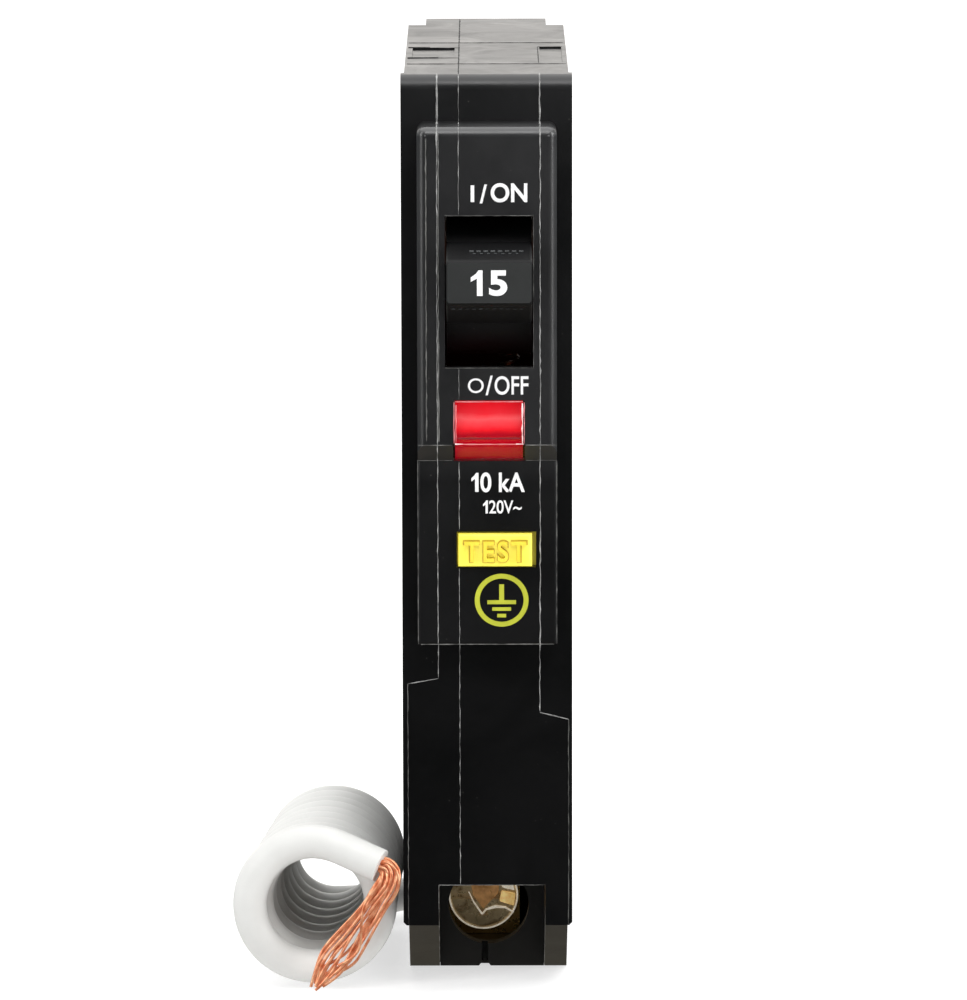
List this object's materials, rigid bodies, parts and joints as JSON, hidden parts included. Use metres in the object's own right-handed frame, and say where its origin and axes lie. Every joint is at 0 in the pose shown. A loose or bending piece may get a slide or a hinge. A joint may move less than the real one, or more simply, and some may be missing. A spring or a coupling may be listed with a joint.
{
  "type": "gfci circuit breaker",
  "caption": "Single-pole plug-on ground-fault circuit breaker with toggle handle, trip window, test button, screw terminal and coiled neutral pigtail.",
  "frame": {"origin": "centre of the footprint of the case at the load end, which it stands on", "axes": "+Z from the load end to the line end, -Y out of the handle face, +X to the right seen from the handle face"},
  "size_m": [0.0387, 0.0759, 0.1046],
  "materials": {
    "case_black": "gloss",
    "handle_black": "gloss",
    "clear_lens": "clear gloss",
    "flag_red": "gloss",
    "button_yellow": "satin",
    "steel": "satin",
    "spring_steel": "satin",
    "copper": "bare copper",
    "tinned_copper": "tinned",
    "silver_contact": "polished",
    "gold_zinc": "yellow-passivated",
    "fibre_grey": "matte",
    "board_green": "matte",
    "component_black": "matte",
    "varistor_blue": "gloss",
    "resistor_tan": "gloss",
    "core_grey": "matte",
    "winding_copper": "enamelled copper",
    "bobbin_white": "matte",
    "wire_black": "pvc",
    "wire_white": "pvc"
  },
  "bodies": {
    "case": {"arc_liner": "fibre_grey", "arc_plates": "steel", "arm_pin": "steel", "armature_pin": "steel", "armature_spring": "spring_steel", "bimetal": "copper", "bimetal_bracket": "steel", "calibration_screw": "steel", "case_rivets": "steel", "circuit_board": "board_green", "control_chip": "component_black", "filter_capacitor": "component_black", "fixed_contact": "silver_contact", "flag_pin": "steel", "ground_core": "core_grey", "ground_winding": "winding_copper", "hot_conductor": "wire_black", "jaw_spring": "spring_steel", "left_case": "case_black", "left_cover": "case_black", "lever_pin": "steel", "line_jaw": "tinned_copper", "load_terminal": "gold_zinc", "magnet_yoke": "steel", "neutral_conductor": "wire_white", "pigtail_coil": "wire_white", "pigtail_lead": "wire_white", "pigtail_strands": "copper", "plunger_spring": "spring_steel", "resistors": "resistor_tan", "right_case": "case_black", "right_cover": "case_black", "sensing_core": "core_grey", "sensing_winding": "winding_copper", "solenoid_bobbin": "bobbin_white", "solenoid_coil": "winding_copper", "solenoid_frame": "steel", "terminal_wall": "case_black", "test_contact": "spring_steel", "test_seat": "spring_steel", "test_spring": "spring_steel", "thyristor": "component_black", "toggle_spring": "spring_steel", "trip_window": "clear_lens", "varistor": "varistor_blue"},
    "handle_body": {"handle": "handle_black"},
    "arm_body": {"contact_arm": "copper", "moving_contact": "silver_contact"},
    "lever_body": {"trip_lever": "steel"},
    "flag_body": {"trip_flag": "flag_red"},
    "armature_body": {"armature": "steel"},
    "plunger_body": {"plunger": "steel"},
    "button_body": {"test_button": "button_yellow"},
    "screw_body": {"load_screw": "gold_zinc"},
    "clamp_body": {"load_clamp": "gold_zinc"}
  },
  "joints": [
    {"name": "handle_swing", "type": "hinge", "parent": "case", "child": "handle_body", "pos_m": [0.00028, -0.022, 0.0812], "axis": [1, 0, 0], "range_deg": [-16.5, 31.5]},
    {"name": "contact_swing", "type": "hinge", "parent": "case", "child": "arm_body", "pos_m": [0, -0.0095, 0.08], "axis": [1, 0, 0], "range_deg": [-11.1, 5.9], "deforming": ["toggle_spring"]},
    {"name": "trip_lever_swing", "type": "hinge", "parent": "case", "child": "lever_body", "pos_m": [-0.0031, -0.004, 0.062], "axis": [1, 0, 0], "range_deg": [0, 12], "deforming": ["toggle_spring"]},
    {"name": "trip_flag_swing", "type": "hinge", "parent": "case", "child": "flag_body", "pos_m": [0.0004, -0.02, 0.06], "axis": [1, 0, 0], "range_deg": [-38, 0]},
    {"name": "armature_swing", "type": "hinge", "parent": "case", "child": "armature_body", "pos_m": [0.0002, 0.0211, 0.0406], "axis": [1, 0, 0], "range_deg": [-3.8, 0], "stiffness_Nm_per_rad": 0.002, "springref_deg": 5.73, "deforming": ["armature_spring"]},
    {"name": "plunger_slide", "type": "slide", "parent": "case", "child": "plunger_body", "axis": [0, 1, 0], "range_m": [0, 0.003], "stiffness_N_per_m": 60, "springref_m": -0.001, "deforming": ["plunger_spring"]},
    {"name": "test_button_push", "type": "slide", "parent": "case", "child": "button_body", "axis": [0, 1, 0], "range_m": [0, 0.0015], "stiffness_N_per_m": 400, "springref_m": -0.002, "deforming": ["test_spring"]},
    {"name": "load_screw_turn", "type": "hinge", "parent": "case", "child": "screw_body", "pos_m": [-0.0005, -0.0042, 0.0072], "axis": [0, 1, 0], "range_deg": [0, 1350]},
    {"name": "load_clamp_slide", "type": "slide", "parent": "case", "child": "clamp_body", "axis": [0, 1, 0], "range_m": [0, 0.003]}
  ],
  "couplings": [
    {"joint": "contact_swing", "follows": "handle_swing", "ratio": -0.35},
    {"joint": "trip_flag_swing", "follows": "trip_lever_swing", "ratio": -3.16},
    {"joint": "load_clamp_slide", "follows": "load_screw_turn", "m_per_rad": 0.00012637}
  ]
}
